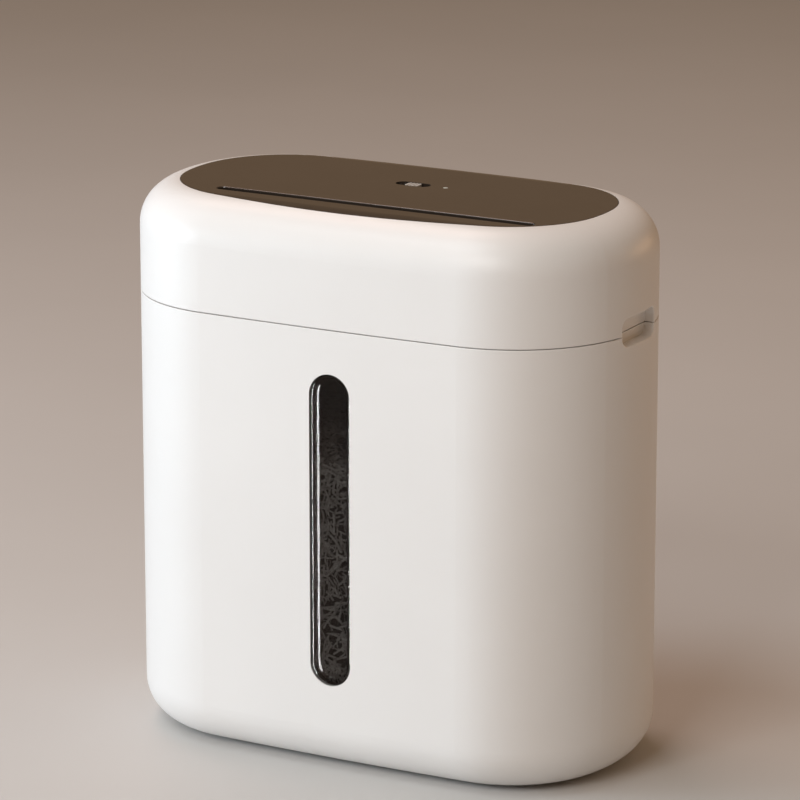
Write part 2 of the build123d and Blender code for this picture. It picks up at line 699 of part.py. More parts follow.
def stripper_comb(y, first_finger_x, outward):
    """A bar under one roller with a finger in each gap between its discs."""
    bar_y = sorted(y + outward * reach for reach in COMB_BAR_HALF)
    comb = block((LEFT_FRAME_X, RIGHT_FRAME_X), bar_y, COMB_BAR_Z)
    finger_y = sorted((y + outward * COMB_BAR_HALF[0], y + outward * COMB_REACH))
    fingers = []
    for i in range(DISC_COUNT):
        x = first_finger_x + i * DISC_PITCH
        finger_x = (x - COMB_FINGER_T / 2, x + COMB_FINGER_T / 2)
        fingers.append(block(finger_x, finger_y, (COMB_BAR_Z[0], SHAFT_Z)))
    comb = comb.fuse(*fingers)
    return comb - rod_x(HUB_R + COMB_CLEAR, y, SHAFT_Z, LEFT_FRAME_X, RIGHT_FRAME_X)


def frame_screw_places():
    for y in LEFT_SCREW_Y:
        yield LEFT_FRAME_X + FRAME_FOOT_W / 2, y
    for y in RIGHT_SCREW_Y:
        yield RIGHT_FRAME_X + FRAME_T + FRAME_FOOT_W / 2, y


def side_frame(x0, y_limits, foot_y):
    """An upright steel plate with a bent foot, bored for the rollers and the tie rods."""
    x1 = x0 + FRAME_T
    plate = block((x0, x1), y_limits, (FLOOR_Z, FRAME_TOP))
    plate = fillet(plate.edges().filter_by(Axis.X).group_by(Axis.Z)[-1], FRAME_ROUND)
    plate += block((x1, x1 + FRAME_FOOT_W), foot_y, (FLOOR_Z, FLOOR_Z + FRAME_FOOT_T))
    for y in (FRONT_Y, REAR_Y):
        plate -= rod_x(BUSH_R, y, SHAFT_Z, x0 - 1, x1 + 1)
    for y, z in TIE_YZ:
        plate -= rod_x(TIE_R - 0.5, y, z, x0 - 1, x1 + 1)
    for x, y in frame_screw_places():
        plate -= rod_z(M3_R, x, y, FLOOR_Z - 1, FLOOR_Z + FRAME_FOOT_T + 1)
    return plate


def side_frame_left():
    x0, x1 = LEFT_FRAME_X - FRAME_T, LEFT_FRAME_X
    plate = side_frame(x0, LEFT_FRAME_Y, LEFT_FOOT_Y)
    plate -= rod_x(MOTOR_HOLE_R, *MOTOR_YZ, x0 - 1, x1 + 1)
    for y, z in (IDLER_YZ, FIRST_YZ):
        plate -= rod_x(GEAR_PIN_R, y, z, x0 - 1, x1 + 1)
    for y, z in (*POST_YZ, *motor_screw_places()):
        plate -= rod_x(M3_R, y, z, x0 - 1, x1 + 1)
    return plate


def side_frame_right():
    return side_frame(RIGHT_FRAME_X, RIGHT_FRAME_Y, RIGHT_FOOT_Y)


def shaft_bushes():
    left = (LEFT_FRAME_X - FRAME_T - BUSH_PROUD, CUTTER_X0 - BUSH_END_GAP)
    right = (CUTTER_X1 + BUSH_END_GAP, RIGHT_FRAME_X + FRAME_T + BUSH_PROUD)
    bushes = []
    for y in (FRONT_Y, REAR_Y):
        for ends in (left, right):
            bushes.append(tube_x(BUSH_R, JOURNAL_R + RUNNING, (y, SHAFT_Z), *ends))
    return bushes


def tie_rods():
    x0, x1 = LEFT_FRAME_X, RIGHT_FRAME_X
    return [
        rod_x(TIE_R, y, z, x0, x1) + rod_x(TIE_R - 0.5, y, z, x0 - FRAME_T - NUT_T, x1 + FRAME_T + NUT_T)
        for y, z in TIE_YZ
    ]


def tie_nuts():
    nuts = []
    hexagon = RegularPolygon(NUT_R, 6)
    for y, z in TIE_YZ:
        for x0 in (LEFT_FRAME_X - FRAME_T - NUT_T, RIGHT_FRAME_X + FRAME_T):
            nut = extrude(Plane.YZ.offset(x0) * Pos(y, z) * hexagon, NUT_T)
            nuts.append(nut - rod_x(TIE_R - 0.5, y, z, x0, x0 + NUT_T))
    return nuts


def frame_screws():
    top = FLOOR_Z + FRAME_FOOT_T
    head_r, head_t = FRAME_SCREW_HEAD
    screws = []
    for x, y in frame_screw_places():
        screws.append(rod_z(M3_R, x, y, TUB_Z0, top) + rod_z(head_r, x, y, top, top + head_t))
    return screws


# ---------------------------------------------------------------- gear train
def pitch_radius(gear):
    return gear["module"] * gear["teeth"] / 2


def involute(angle):
    return math.tan(angle) - angle


def gear_face(gear, phase):
    """A spur gear outline whose first tooth is centred on the angle phase."""
    module, teeth = gear["module"], gear["teeth"]
    pitch = module * teeth / 2
    base = pitch * math.cos(PRESSURE)
    tip = pitch + ADDENDUM * module
    root = pitch - DEDENDUM * module
    half_at_pitch = (math.pi * module / 2 - BACKLASH / 2) / (2 * pitch)
    start = max(base, root)

    def half_angle(radius):
        return half_at_pitch + involute(PRESSURE) - involute(math.acos(base / radius))

    def at(radius, angle):
        return (radius * math.cos(angle), radius * math.sin(angle))

    middle = (start + tip) / 2
    edges = []
    for i in range(teeth):
        centre = phase + i * 2 * math.pi / teeth
        after = centre + math.pi / teeth
        following = centre + 2 * math.pi / teeth
        for side in (-1, 1):
            edges.append(
                ThreePointArc(*[at(r, centre + side * half_angle(r)) for r in (start, middle, tip)])
            )
            if start > root:
                flank = centre + side * half_angle(start)
                edges.append(Line(at(root, flank), at(start, flank)))
        tip_half, foot_half = half_angle(tip), half_angle(start)
        edges.append(ThreePointArc(at(tip, centre - tip_half), at(tip, centre), at(tip, centre + tip_half)))
        edges.append(
            ThreePointArc(at(root, centre + foot_half), at(root, after), at(root, following - foot_half))
        )
    return make_face(edges)


def mesh_phase(driver, driver_phase, driven, direction):
    """The phase that puts a gap of the driven gear on the driver's tooth along direction."""
    driver_pitch = 2 * math.pi / driver["teeth"]
    driven_pitch = 2 * math.pi / driven["teeth"]
    share = ((direction - driver_phase) / driver_pitch) % 1.0
    return direction + math.pi - (0.5 - share) * driven_pitch


def gear_blank(gear, phase, centre, layer, bore):
    face = Plane.YZ.offset(layer[0]) * Pos(*centre) * gear_face(gear, phase)
    wheel = extrude(face, layer[1] - layer[0])
    return wheel - rod_x(bore, *centre, *layer)


def towards(start, end):
    return math.atan2(end[1] - start[1], end[0] - start[0])


FRONT_YZ = (FRONT_Y, SHAFT_Z)
REAR_YZ = (REAR_Y, SHAFT_Z)
IDLER_YZ = (REAR_Y + pitch_radius(DRIVE) + pitch_radius(IDLER_PINION), SHAFT_Z)
FIRST_REACH = pitch_radius(IDLER_WHEEL) + pitch_radius(FIRST_PINION)
MOTOR_REACH = pitch_radius(FIRST_WHEEL) + pitch_radius(MOTOR_PINION)
IDLER_TO_MOTOR = math.dist(IDLER_YZ, MOTOR_YZ)
FIRST_ALONG = (FIRST_REACH**2 - MOTOR_REACH**2 + IDLER_TO_MOTOR**2) / (2 * IDLER_TO_MOTOR)
FIRST_ANGLE = towards(IDLER_YZ, MOTOR_YZ) + math.acos(FIRST_ALONG / FIRST_REACH)
FIRST_YZ = (
    IDLER_YZ[0] + FIRST_REACH * math.cos(FIRST_ANGLE),
    IDLER_YZ[1] + FIRST_REACH * math.sin(FIRST_ANGLE),
)

REAR_PHASE = 0.0
FRONT_PHASE = mesh_phase(SYNC, REAR_PHASE, SYNC, towards(REAR_YZ, FRONT_YZ))
IDLER_PHASE = mesh_phase(DRIVE, REAR_PHASE, IDLER_PINION, towards(REAR_YZ, IDLER_YZ))
FIRST_PHASE = mesh_phase(IDLER_WHEEL, IDLER_PHASE, FIRST_PINION, towards(IDLER_YZ, FIRST_YZ))
MOTOR_PHASE = mesh_phase(FIRST_WHEEL, FIRST_PHASE, MOTOR_PINION, towards(FIRST_YZ, MOTOR_YZ))


def front_sync_gear():
    return gear_blank(SYNC, FRONT_PHASE, FRONT_YZ, LAYER_1, JOURNAL_R)


def rear_sync_gear():
    return gear_blank(SYNC, REAR_PHASE, REAR_YZ, LAYER_1, JOURNAL_R)


def drive_gear():
    wheel = gear_blank(DRIVE, REAR_PHASE, REAR_YZ, LAYER_2, JOURNAL_R)
    wheel += tube_x(DRIVE_SPACER_R, JOURNAL_R, REAR_YZ, LAYER_2[1], LAYER_1[0])
    web_outer, web_inner, web_depth = DRIVE_WEB
    return wheel - tube_x(web_outer, web_inner, REAR_YZ, LAYER_2[1] - web_depth, LAYER_2[1])


def idler_gear():
    bore = GEAR_PIN_R + RUNNING
    pinion = gear_blank(IDLER_PINION, IDLER_PHASE, IDLER_YZ, (LAYER_3[1], LAYER_2[1]), bore)
    wheel = gear_blank(IDLER_WHEEL, IDLER_PHASE, IDLER_YZ, LAYER_3, bore)
    hub = tube_x(GEAR_HUB_R, bore, IDLER_YZ, LAYER_2[1], LAYER_1[1])
    return pinion + wheel + hub


def first_gear():
    bore = GEAR_PIN_R + RUNNING
    wheel = gear_blank(FIRST_WHEEL, FIRST_PHASE, FIRST_YZ, LAYER_1, bore)
    pinion = gear_blank(FIRST_PINION, FIRST_PHASE, FIRST_YZ, LAYER_3, bore)
    hub = tube_x(FIRST_HUB_R, bore, FIRST_YZ, LAYER_3[1], LAYER_1[0])
    return wheel + hub + pinion


def motor_pinion():
    return gear_blank(MOTOR_PINION, MOTOR_PHASE, MOTOR_YZ, LAYER_1, MOTOR_SHAFT_R)


def gear_pins():
    return [rod_x(GEAR_PIN_R, *yz, GEAR_PLATE_X[0], LEFT_FRAME_X) for yz in (IDLER_YZ, FIRST_YZ)]


def gearbox_plate():
    """The outer plate that carries the far ends of the gear pins."""
    plate = profile_x(GEAR_PLATE_YZ, *GEAR_PLATE_X)
    for yz in (IDLER_YZ, FIRST_YZ):
        plate -= rod_x(GEAR_PIN_R, *yz, *GEAR_PLATE_X)
    for yz in POST_YZ:
        plate -= rod_x(M3_R, *yz, *GEAR_PLATE_X)
    return plate


def gearbox_posts():
    x0, x1 = GEAR_PLATE_X[1], LEFT_FRAME_X - FRAME_T
    return [tube_x(POST_R, M3_R, yz, x0, x1) for yz in POST_YZ]


# ---------------------------------------------------------------- motor
CAN_X0 = LEFT_FRAME_X
CAN_X1 = CAN_X0 + CAN_L
MOTOR_BUSH_R = 7.0


def motor_screw_places():
    y, z = MOTOR_YZ
    return ((y - MOTOR_SCREW_REACH, z), (y + MOTOR_SCREW_REACH, z))


def motor_can():
    can = rod_x(MOTOR_R, *MOTOR_YZ, CAN_X0, CAN_X1)
    can -= rod_x(MOTOR_R - CAN_T, *MOTOR_YZ, CAN_X0 + CAN_T, CAN_X1)
    can -= rod_x(MOTOR_BUSH_R, *MOTOR_YZ, CAN_X0 - 1, CAN_X0 + CAN_T + 1)
    for yz in motor_screw_places():
        can -= rod_x(M3_R, *yz, CAN_X0 - 1, CAN_X0 + CAN_T + 1)
    return can


def motor_endcap():
    cap = rod_x(MOTOR_R, *MOTOR_YZ, CAN_X1, CAN_X1 + ENDCAP_T)
    cap = chamfer(cap.edges().group_by(Axis.X)[-1], 2.0)
    cap -= rod_x(MOTOR_R - 3, *MOTOR_YZ, CAN_X1, CAN_X1 + ENDCAP_T - 3)
    cap -= rod_x(MOTOR_BUSH_R - 3, *MOTOR_YZ, CAN_X1, CAN_X1 + ENDCAP_T + 1)
    return cap


def motor_bushes():
    bore = MOTOR_SHAFT_R + RUNNING
    left = (CAN_X0 - FRAME_T + 0.5, CAN_X0 + CAN_T)
    right = (CAN_X1 + ENDCAP_T - 3, CAN_X1 + ENDCAP_T)
    return [
        tube_x(MOTOR_BUSH_R, bore, MOTOR_YZ, *left),
        tube_x(MOTOR_BUSH_R - 3, bore, MOTOR_YZ, *right),
    ]


def motor_magnets():
    x0, x1 = CAN_X0 + ROTOR_GAP + 4, CAN_X1 - COMMUTATOR_L - 1
    outer = MOTOR_R - CAN_T
    y, z = MOTOR_YZ
    ring = tube_x(outer, outer - MAGNET_T, MOTOR_YZ, x0, x1)
    ring -= block((x0, x1), (y - MOTOR_R, y + MOTOR_R), (z - MAGNET_GAP / 2, z + MAGNET_GAP / 2))
    return list(ring.solids())


def motor_brushes():
    y, z = MOTOR_YZ
    brushes = []
    for side in (1, -1):
        reach = sorted(y + side * end for end in BRUSH_REACH)
        brushes.append(block((CAN_X1 - 7, CAN_X1 - 2), reach, (z - BRUSH_HALF, z + BRUSH_HALF)))
    return brushes


def motor_armature():
    """Laminated core with slots, end windings and the commutator."""
    y, z = MOTOR_YZ
    ends = (CAN_X0 + ROTOR_GAP, CAN_X1 - COMMUTATOR_L - 1)
    core_ends = (ends[0] + WINDING_L, ends[1] - WINDING_L)
    core = rod_x(ROTOR_R, y, z, *core_ends)
    for i in range(ROTOR_SLOTS):
        angle = 2 * math.pi * i / ROTOR_SLOTS
        slot_y, slot_z = y + ROTOR_R * math.cos(angle), z + ROTOR_R * math.sin(angle)
        core -= rod_x(ROTOR_SLOT_R, slot_y, slot_z, *core_ends)
    core += rod_x(WINDING_R, y, z, ends[0], core_ends[0])
    core += rod_x(WINDING_R, y, z, core_ends[1], ends[1])
    core += rod_x(COMMUTATOR_R, y, z, ends[1], ends[1] + COMMUTATOR_L)
    return core - rod_x(MOTOR_SHAFT_R, y, z, ends[0] - 1, CAN_X1)


def motor_shaft():
    return rod_x(MOTOR_SHAFT_R, *MOTOR_YZ, LAYER_1[0], CAN_X1 + ENDCAP_T - 0.5)


def drive_screws():
    """The screws that hold the gear plate's posts and the motor to the left frame."""
    head_r, head_t = FRAME_SCREW_HEAD
    lengths = [(yz, GEAR_PLATE_X[0], LEFT_FRAME_X) for yz in POST_YZ]
    lengths += [(yz, LEFT_FRAME_X - FRAME_T, LEFT_FRAME_X + CAN_T) for yz in motor_screw_places()]
    return [rod_x(M3_R, *yz, x0, x1) + rod_x(head_r, *yz, x0 - head_t, x0) for yz, x0, x1 in lengths]


def thermal_cutout():
    y, z = MOTOR_YZ
    top = z + MOTOR_R
    return block(CUTOUT_X, (y - CUTOUT_HALF, y + CUTOUT_HALF), (top, top + CUTOUT_T))


# ---------------------------------------------------------------- controls
def switch_bezel():
    """The dished surround of the slide switch and its indicator, with legs for the small board."""
    under = BODY_TOP - PLATE_T
    bezel = oblong_z(BEZEL_L, BEZEL_W, CONTROL_X, CONTROL_Y, under - 2, BODY_TOP)
    lip_l, lip_w = BEZEL_L + 2 * BEZEL_LIP, BEZEL_W + 2 * BEZEL_LIP
    bezel += oblong_z(lip_l, lip_w, CONTROL_X, CONTROL_Y, under - 2, under)
    dish_x, dish_l = KNOB_X, KNOB_L + 2 * KNOB_TRAVEL + 2
    bezel -= oblong_z(dish_l + 5, KNOB_W + 2, dish_x, CONTROL_Y, BODY_TOP - DISH_DEPTH, BODY_TOP + 1)
    stem_half = STEM_W / 2 + STEM_SLACK
    travel = (dish_x - KNOB_TRAVEL - stem_half, dish_x + KNOB_TRAVEL + stem_half)
    bezel -= block(travel, (CONTROL_Y - stem_half, CONTROL_Y + stem_half), (under - 5, BODY_TOP))
    bezel -= rod_z(LIGHT_R, LIGHT_X, CONTROL_Y, under - 5, BODY_TOP + 1)
    for side in (1, -1):
        x = CONTROL_X + side * BEZEL_LEG_REACH
        leg_y = (CONTROL_Y - 4, CONTROL_Y + 4)
        bezel += block((x - 1.5, x + 1.5), leg_y, (CONTROL_BOARD_Z[1], under - 2))
    return bezel


def slider_knob():
    top = BODY_TOP - 0.1
    bottom = BODY_TOP - DISH_DEPTH + 0.3
    y0, y1 = CONTROL_Y - KNOB_W / 2, CONTROL_Y + KNOB_W / 2
    knob = block((KNOB_X - KNOB_L / 2, KNOB_X + KNOB_L / 2), (y0, y1), (bottom, top))
    knob = fillet(knob.edges().filter_by(Axis.Z), KNOB_ROUND)
    for i in range(-1, 2):
        x = KNOB_X + i * RIDGE_PITCH
        knob -= block((x - RIDGE_GROOVE / 2, x + RIDGE_GROOVE / 2), (y0 - 1, y1 + 1), (top - 0.5, top + 1))
    half = STEM_W / 2
    stem = block((KNOB_X - half, KNOB_X + half), (CONTROL_Y - half, CONTROL_Y + half), (STEM_FOOT_Z, bottom))
    return knob + stem


def switch_housing():
    half = STEM_W / 2 + STEM_SLACK
    half_x, half_y = HOUSING_HALF
    body_y = (CONTROL_Y - half_y, CONTROL_Y + half_y)
    body = block((KNOB_X - half_x, KNOB_X + half_x), body_y, (CONTROL_BOARD_Z[1], HOUSING_TOP))
    travel = (KNOB_X - KNOB_TRAVEL - half, KNOB_X + KNOB_TRAVEL + half)
    return body - block(travel, (CONTROL_Y - half, CONTROL_Y + half), (STEM_FOOT_Z - 0.5, HOUSING_TOP + 1))


def light_pipe():
    return rod_z(LIGHT_R, LIGHT_X, CONTROL_Y, CONTROL_BOARD_Z[1], BODY_TOP)


def control_board():
    half_x, half_y = CONTROL_BOARD_HALF
    board_x = (CONTROL_X - half_x, CONTROL_X + half_x)
    return block(board_x, (CONTROL_Y - half_y, CONTROL_Y + half_y), CONTROL_BOARD_Z)


def interlock_switch():
    """The snap switch in the head that the bin's tab works."""
    body_x, body_y, body_z = INTERLOCK_BODY
    body = block((KEY_X + body_x[0], KEY_X + body_x[1]), body_y, body_z)
    return body - rod_z(PLUNGER_R + RUNNING, KEY_X, PLUNGER_Y, body_z[0] - 1, INTERLOCK_BORE_TOP)


def interlock_plunger():
    return rod_z(PLUNGER_R, KEY_X, PLUNGER_Y, KEY_Z[1] + PLUNGER_GAP, PLUNGER_TOP)


def paper_sensors():
    """The light emitter and receiver that face each other across the throat."""
    half_x, half_z = SENSOR_HALF
    sensors = []
    for side in (1, -1):
        inner = SLOT_Y + side * (SLOT_W / 2 + THROAT_WALL)
        outer = inner + side * SENSOR_T
        z_limits = (SENSOR_Z - half_z, SENSOR_Z + half_z)
        sensors.append(block((SLOT_X - half_x, SLOT_X + half_x), sorted((inner, outer)), z_limits))
    return sensors


# ---------------------------------------------------------------- electrics
def board_posts():
    for x in (BOARD_X[0] + BOARD_INSET, BOARD_X[1] - BOARD_INSET):
        for y in (BOARD_Y[0] + BOARD_INSET, BOARD_Y[1] - BOARD_INSET):
            yield x, y


def main_board():
    board = block(BOARD_X, BOARD_Y, BOARD_Z)
    for x, y in board_posts():
        board -= rod_z(BOARD_SCREW_R, x, y, BOARD_Z[0] - 1, BOARD_Z[1] + 1)
    return board


def board_screws():
    foot, top = BOARD_Z[0] - BOARD_SCREW_BITE, BOARD_Z[1]
    head_r, head_t = BOARD_SCREW_HEAD
    screws = []
    for x, y in board_posts():
        screws.append(rod_z(BOARD_SCREW_R, x, y, foot, top) + rod_z(head_r, x, y, top, top + head_t))
    return screws


def on_board(height):
    """The Z limits of a component that stands on the main board."""
    return (BOARD_Z[1], BOARD_Z[1] + height)


def relay():
    x_limits, y_limits, height = RELAY
    return block(x_limits, y_limits, on_board(height))


def filter_capacitor():
    x, y, radius, height = CAPACITOR
    can = rod_z(radius, x, y, *on_board(height))
    return chamfer(can.edges().group_by(Axis.Z)[-1], 1.0)


def heat_sink():
    x_limits, y_limits, height = SINK_BACK
    fin_t, pitch, count, reach = SINK_FIN
    sink = block(x_limits, y_limits, on_board(height))
    for i in range(count):
        x = x_limits[0] + 1.0 + i * pitch
        sink += block((x - fin_t / 2, x + fin_t / 2), (y_limits[1], reach), on_board(height))
    return sink


def choke():
    x, y, outer, inner, height = CHOKE
    return rod_z(outer, x, y, *on_board(height)) - rod_z(inner, x, y, *on_board(height))


def fuse():
    radius, y, x_limits = FUSE
    return rod_x(radius, y, BOARD_Z[1] + radius, *x_limits)


def terminal_block():
    x_limits, y_limits, height = TERMINALS
    return block(x_limits, y_limits, on_board(height))


def inlet_socket():
    """A two-pole appliance inlet set flush in the rear wall."""
    back = BODY_D / 2
    half_w = INLET_W / 2
    half_pins = INLET_PIN_SPACING / 2
    flange_out, flange_front, flange_back = INLET_FLANGE
    z_limits = (INLET_Z - INLET_H / 2, INLET_Z + INLET_H / 2)
    body = block((INLET_X - half_w, INLET_X + half_w), (back - INLET_DEPTH, FAR), z_limits)
    flange_x = (INLET_X - half_w - flange_out, INLET_X + half_w + flange_out)
    body += block(flange_x, (back - flange_front, back - flange_back), z_limits)
    body = body & OUTER
    floor_y = back - INLET_SUNK - INLET_SOCKET_DEPTH
    for x in (INLET_X - half_pins, INLET_X + half_pins):
        body -= rod_y(INLET_LOBE_R, x, INLET_Z, floor_y, FAR)
        body -= rod_y(INLET_PIN_R, x, INLET_Z, back - INLET_DEPTH - 1, floor_y)
    bridge_z = (INLET_Z - INLET_BRIDGE_HALF, INLET_Z + INLET_BRIDGE_HALF)
    return body - block((INLET_X - half_pins, INLET_X + half_pins), (floor_y, FAR), bridge_z)


def inlet_pins():
    back = BODY_D / 2
    y0, y1 = back - INLET_DEPTH - PIN_TAIL, back - PIN_TIP
    half_pins = INLET_PIN_SPACING / 2
    return [rod_y(INLET_PIN_R, x, INLET_Z, y0, y1) for x in (INLET_X - half_pins, INLET_X + half_pins)]


def wire(points):
    """A thin round wire through the given points, with rounded bends."""
    path = FilletPolyline(*points, radius=WIRE_BEND)
    start = path @ 0
    return sweep(Plane(origin=start, z_dir=path % 0) * Circle(WIRE_R), path)


def mains_route(index):
    """From a terminal up, over and down to the tail of its inlet pin."""
    x = TERMINALS[0][0] + 3.0 + 6.0 * index
    y = sum(TERMINALS[1]) / 2
    rise = 322.0 + 4.0 * index
    pin_x = INLET_X + (index - 0.5) * INLET_PIN_SPACING
    pin_y = BODY_D / 2 - INLET_DEPTH - PIN_TAIL
    bend_y = pin_y - 12.0
    climb = [(x, y, BOARD_Z[1] + TERMINALS[2]), (x, y, rise)]
    return climb + [(pin_x, bend_y, rise), (pin_x, bend_y, INLET_Z), (pin_x, pin_y, INLET_Z)]


def motor_route(side):
    """From the motor's end cap over to the main board."""
    end_x = CAN_X1 + ENDCAP_T
    y = MOTOR_YZ[0] + side * 12.0
    z = MOTOR_YZ[1] + 10.0
    pad_x = BOARD_X[0] + BOARD_INSET
    return [(end_x, y, z), (end_x + 18.0, y, z), (pad_x, y, z - 8.0), (pad_x, y, BOARD_Z[1])]


def wire_harness():
    """The mains leads from the inlet to the board and the two motor leads."""
    return [wire(mains_route(index)) for index in (0, 1)] + [wire(motor_route(side)) for side in (1, -1)]


PARTS = [
    bin_shell, window_insert, window_retainer, window_screws, rubber_feet, interlock_key,
    head_shell, top_plate, paper_throat, head_base, base_screws,
    side_frame_left, side_frame_right, shaft_bushes, tie_rods, tie_nuts, frame_screws,
    front_sync_gear, rear_sync_gear, drive_gear, idler_gear, first_gear, motor_pinion,
    gear_pins, gearbox_plate, gearbox_posts, drive_screws,
    motor_can, motor_endcap, motor_bushes, motor_magnets, motor_brushes, motor_armature, motor_shaft,
    thermal_cutout,
    switch_bezel, slider_knob, switch_housing, light_pipe, control_board,
    interlock_switch, interlock_plunger, paper_sensors,
    main_board, board_screws, relay, filter_capacitor, heat_sink, choke, fuse, terminal_block,
    inlet_socket, inlet_pins, wire_harness,
]


def roller_parts():
    front_x = CUTTER_X0 + DISC_PITCH / 4
    rear_x = CUTTER_X0 + 3 * DISC_PITCH / 4
    yield "cutter_roller_front", roller(FRONT_Y, front_x, FRONT_SHAFT_END, 1)
    yield "cutter_roller_rear", roller(REAR_Y, rear_x, REAR_SHAFT_END, -1)
    yield "roller_clips_front", clips(FRONT_Y, FRONT_SHAFT_END)
    yield "roller_clips_rear", clips(REAR_Y, REAR_SHAFT_END)
    yield "stripper_comb_front", stripper_comb(FRONT_Y, rear_x, -1)
    yield "stripper_comb_rear", stripper_comb(REAR_Y, front_x, 1)


def export(name, shape):
    if isinstance(shape, list):
        shape = Compound(children=[Solid(piece.solid().wrapped) for piece in shape])
    export_step(shape, os.path.join("parts", name + ".step"))


os.makedirs("parts", exist_ok=True)
for make in PARTS:
    export(make.__name__, make())
for name, shape in roller_parts():
    export(name, shape)
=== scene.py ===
"""Looks, shredded paper, stage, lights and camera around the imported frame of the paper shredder."""

import json
import math
import random

import bmesh
import bpy
from mathutils import Matrix, Vector


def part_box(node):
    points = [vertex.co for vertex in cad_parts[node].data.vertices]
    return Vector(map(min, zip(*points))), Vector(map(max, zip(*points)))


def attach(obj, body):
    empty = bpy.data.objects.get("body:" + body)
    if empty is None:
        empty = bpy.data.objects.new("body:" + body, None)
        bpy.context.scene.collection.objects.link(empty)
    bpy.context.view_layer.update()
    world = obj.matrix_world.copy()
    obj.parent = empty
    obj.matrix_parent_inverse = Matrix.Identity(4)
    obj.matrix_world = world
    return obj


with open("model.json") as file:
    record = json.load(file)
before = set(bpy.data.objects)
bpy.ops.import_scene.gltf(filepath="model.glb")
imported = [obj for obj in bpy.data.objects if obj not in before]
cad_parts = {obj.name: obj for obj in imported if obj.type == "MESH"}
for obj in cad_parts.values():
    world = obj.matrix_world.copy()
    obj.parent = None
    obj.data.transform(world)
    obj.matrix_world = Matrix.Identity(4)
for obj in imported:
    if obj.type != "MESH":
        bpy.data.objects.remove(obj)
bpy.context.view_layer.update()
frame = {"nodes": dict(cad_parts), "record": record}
NODES = frame["nodes"]


# ---------------------------------------------------------------- node helpers
def new_material(name):
    mat = bpy.data.materials.new(name)
    mat.use_nodes = True
    tree = mat.node_tree
    shader = tree.nodes["Principled BSDF"]
    return mat, tree, shader


def add(tree, kind, **values):
    """A new node with its named inputs set."""
    node = tree.nodes.new(kind)
    for name, value in values.items():
        node.inputs[name].default_value = value
    return node


def noise(tree, scale, detail=4.0, roughness=0.5, stretch=(1.0, 1.0, 1.0)):
    """Noise in the object's own coordinates, in metres, as a value from 0 to 1."""
    coords = add(tree, "ShaderNodeTexCoord")
    mapping = add(tree, "ShaderNodeMapping", Scale=stretch)
    texture = add(tree, "ShaderNodeTexNoise", Scale=scale, Detail=detail, Roughness=roughness)
    tree.links.new(coords.outputs["Object"], mapping.inputs["Vector"])
    tree.links.new(mapping.outputs["Vector"], texture.inputs["Vector"])
    return texture.outputs["Fac"]


def spread(tree, source, low, high):
    """Maps a value from 0 to 1 onto a range."""
    node = add(tree, "ShaderNodeMapRange")
    node.inputs["To Min"].default_value = low
    node.inputs["To Max"].default_value = high
    tree.links.new(source, node.inputs["Value"])
    return node.outputs["Result"]


def tint(tree, source, colour_a, colour_b, low=0.3, high=0.7):
    """Blends from colour_a at low to colour_b at high."""
    ramp = add(tree, "ShaderNodeValToRGB")
    ramp.color_ramp.elements[0].position = low
    ramp.color_ramp.elements[1].position = high
    ramp.color_ramp.elements[0].color = (*colour_a, 1.0)
    ramp.color_ramp.elements[1].color = (*colour_b, 1.0)
    tree.links.new(source, ramp.inputs["Fac"])
    return ramp.outputs["Color"]


def bump(tree, shader, source, strength, distance):
    node = add(tree, "ShaderNodeBump", Strength=strength, Distance=distance)
    tree.links.new(source, node.inputs["Height"])
    tree.links.new(node.outputs["Normal"], shader.inputs["Normal"])


# ---------------------------------------------------------------- materials
def white_gloss():
    """Moulded ABS: an even warm white, a faint orange peel and slight variation in gloss."""
    mat, tree, shader = new_material("white_gloss")
    colour = tint(tree, noise(tree, 9.0, 2.0), (0.815, 0.805, 0.79), (0.84, 0.83, 0.815))
    tree.links.new(colour, shader.inputs["Base Color"])
    tree.links.new(spread(tree, noise(tree, 420.0, 3.0), 0.38, 0.46), shader.inputs["Roughness"])
    shader.inputs["IOR"].default_value = 1.5
    shader.inputs["Coat Weight"].default_value = 0.08
    shader.inputs["Coat Roughness"].default_value = 0.22
    bump(tree, shader, noise(tree, 260.0, 2.0), 0.05, 0.0004)
    return mat


def brown_gloss():
    """Polished dark brown acrylic."""
    mat, tree, shader = new_material("brown_gloss")
    colour = tint(tree, noise(tree, 30.0, 3.0), (0.030, 0.022, 0.017), (0.036, 0.027, 0.021))
    tree.links.new(colour, shader.inputs["Base Color"])
    tree.links.new(spread(tree, noise(tree, 300.0, 2.0), 0.16, 0.21), shader.inputs["Roughness"])
    shader.inputs["Coat Weight"].default_value = 0.6
    shader.inputs["Coat Roughness"].default_value = 0.08
    return mat


def smoked_clear():
    """Smoked polycarbonate: a dark gloss skin that lets part of what is behind it through."""
    mat, tree, shader = new_material("smoked_clear")
    colour = tint(tree, noise(tree, 40.0, 2.0), (0.0008, 0.0006, 0.0005), (0.0014, 0.0010, 0.0008))
    tree.links.new(colour, shader.inputs["Base Color"])
    tree.links.new(spread(tree, noise(tree, 300.0, 2.0), 0.05, 0.09), shader.inputs["Roughness"])
    shader.inputs["Alpha"].default_value = 0.62
    shader.inputs["Specular IOR Level"].default_value = 0.15
    return mat


def shredded_paper():
    """Office paper: white, with faint grey patches of print that differ from strip to strip."""
    mat, tree, shader = new_material("shredded_paper")
    patches = noise(tree, 260.0, 3.0, 0.6)
    colour = tint(tree, patches, (0.55, 0.53, 0.50), (0.85, 0.83, 0.80), 0.38, 0.52)
    tree.links.new(colour, shader.inputs["Base Color"])
    fibre = noise(tree, 2200.0, 3.0)
    tree.links.new(spread(tree, fibre, 0.7, 0.9), shader.inputs["Roughness"])
    bump(tree, shader, fibre, 0.2, 0.0001)
    return mat


